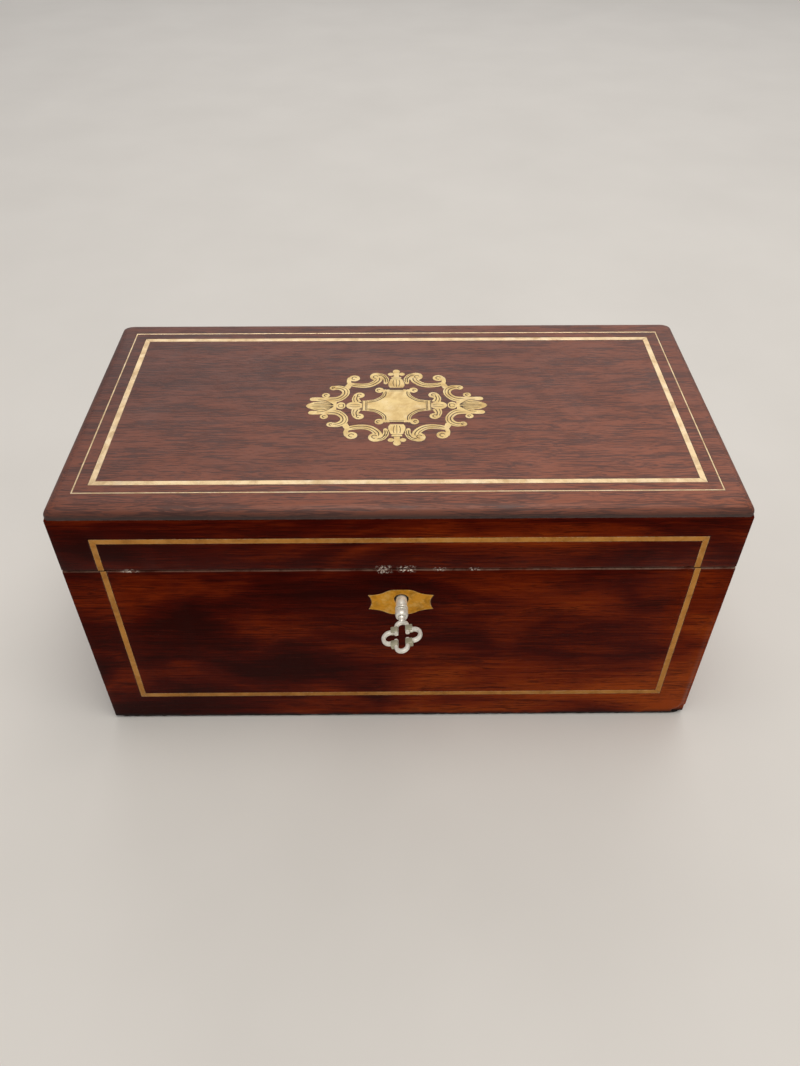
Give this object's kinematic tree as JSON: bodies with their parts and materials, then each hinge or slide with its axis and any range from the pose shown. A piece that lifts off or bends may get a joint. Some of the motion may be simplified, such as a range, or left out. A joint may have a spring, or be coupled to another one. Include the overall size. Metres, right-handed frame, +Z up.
{
  "type": "tea caddy",
  "caption": "Rectangular rosewood tea caddy with inlaid brass lines and a cut-brass medallion, hinged lid, link-plate lock with a pipe key, and inner lids over foil-lined compartments.",
  "frame": {"origin": "centre of the underside, on the face of the base felt that the caddy stands on", "axes": "+X along the length to the right as seen from the front, -Y to the front (the keyhole side), +Z up"},
  "size_m": [0.27, 0.1683, 0.131],
  "materials": {
    "polished_rosewood": "deep glossy French polish over red-brown rosewood",
    "rosewood": "satin, worn polish with fine dark pores",
    "mahogany": "plain oiled",
    "felt": "dark woollen felt",
    "velvet": "worn cotton velvet",
    "lead_foil": "dull grey, slightly crumpled",
    "golden_brass": "old lacquered brass, hand polished",
    "pale_brass": "satin, hand-rubbed",
    "lock_brass": "filed and tarnished",
    "steel": "dark worn steel",
    "nickel": "polished, slightly worn",
    "bone": "polished bone"
  },
  "bodies": {
    "case": {"front_board": "polished_rosewood", "back_board": "rosewood", "left_side_board": "rosewood", "right_side_board": "rosewood", "bottom_board": "mahogany", "liner_front": "mahogany", "liner_back": "mahogany", "divider": "mahogany", "base_felt": "felt", "tea_lead_left": "lead_foil", "tea_lead_right": "lead_foil", "front_band_left": "golden_brass", "front_band_right": "golden_brass", "front_band_bottom": "golden_brass", "escutcheon": "golden_brass", "lock_plate": "lock_brass", "case_hinge_leaf_left": "lock_brass", "case_hinge_leaf_right": "lock_brass", "lock_screw_left": "lock_brass", "lock_screw_right": "lock_brass", "case_leaf_screw_left_outer": "lock_brass", "case_leaf_screw_left_inner": "lock_brass", "case_leaf_screw_right_outer": "lock_brass", "case_leaf_screw_right_inner": "lock_brass", "lock_case": "steel", "lock_spring": "steel", "hinge_pin_left": "steel", "hinge_pin_right": "steel"},
    "lid": {"lid_front_board": "polished_rosewood", "lid_back_board": "rosewood", "lid_left_board": "rosewood", "lid_right_board": "rosewood", "lid_top_board": "rosewood", "lid_lining": "velvet", "lid_band_left": "golden_brass", "lid_band_right": "golden_brass", "lid_band_top": "golden_brass", "top_band_front": "pale_brass", "top_band_back": "pale_brass", "top_band_left": "pale_brass", "top_band_right": "pale_brass", "top_fine_line": "pale_brass", "medallion": "pale_brass", "striker_plate": "lock_brass", "lid_hinge_leaf_left": "lock_brass", "lid_hinge_leaf_right": "lock_brass", "striker_screw_left": "lock_brass", "striker_screw_right": "lock_brass", "lid_leaf_screw_left_outer": "lock_brass", "lid_leaf_screw_left_inner": "lock_brass", "lid_leaf_screw_right_outer": "lock_brass", "lid_leaf_screw_right_inner": "lock_brass"},
    "lock_bolt": {"lock_bolt": "lock_brass"},
    "key_collar": {"key_collar": "nickel"},
    "key": {"key": "nickel"},
    "inner_lid_left": {"inner_lid_left": "mahogany", "knob_left": "bone"},
    "inner_lid_right": {"inner_lid_right": "mahogany", "knob_right": "bone"}
  },
  "joints": [
    {"name": "lid_hinge", "type": "hinge", "parent": "case", "child": "lid", "pos_m": [0, 0.0677, 0.0989], "axis": [-1, 0, 0], "range_deg": [0, 100]},
    {"name": "key_pull", "type": "slide", "parent": "case", "child": "key_collar", "axis": [0, -1, 0], "range_m": [0, 0.045]},
    {"name": "key_turn", "type": "hinge", "parent": "key_collar", "child": "key", "pos_m": [0.0007, -0.0775, 0.0814], "axis": [0, 1, 0], "range_deg": [0, 90]},
    {"name": "bolt_slide", "type": "slide", "parent": "case", "child": "lock_bolt", "axis": [-1, 0, 0], "range_m": [0, 0.005]},
    {"name": "inner_lid_left_lift", "type": "slide", "parent": "case", "child": "inner_lid_left", "axis": [0, 0, 1], "range_m": [0, 0.026]},
    {"name": "inner_lid_right_lift", "type": "slide", "parent": "case", "child": "inner_lid_right", "axis": [0, 0, 1], "range_m": [0, 0.026]}
  ],
  "couplings": [
    {"joint": "key_turn", "follows": "bolt_slide", "rad_per_m": 314}
  ]
}
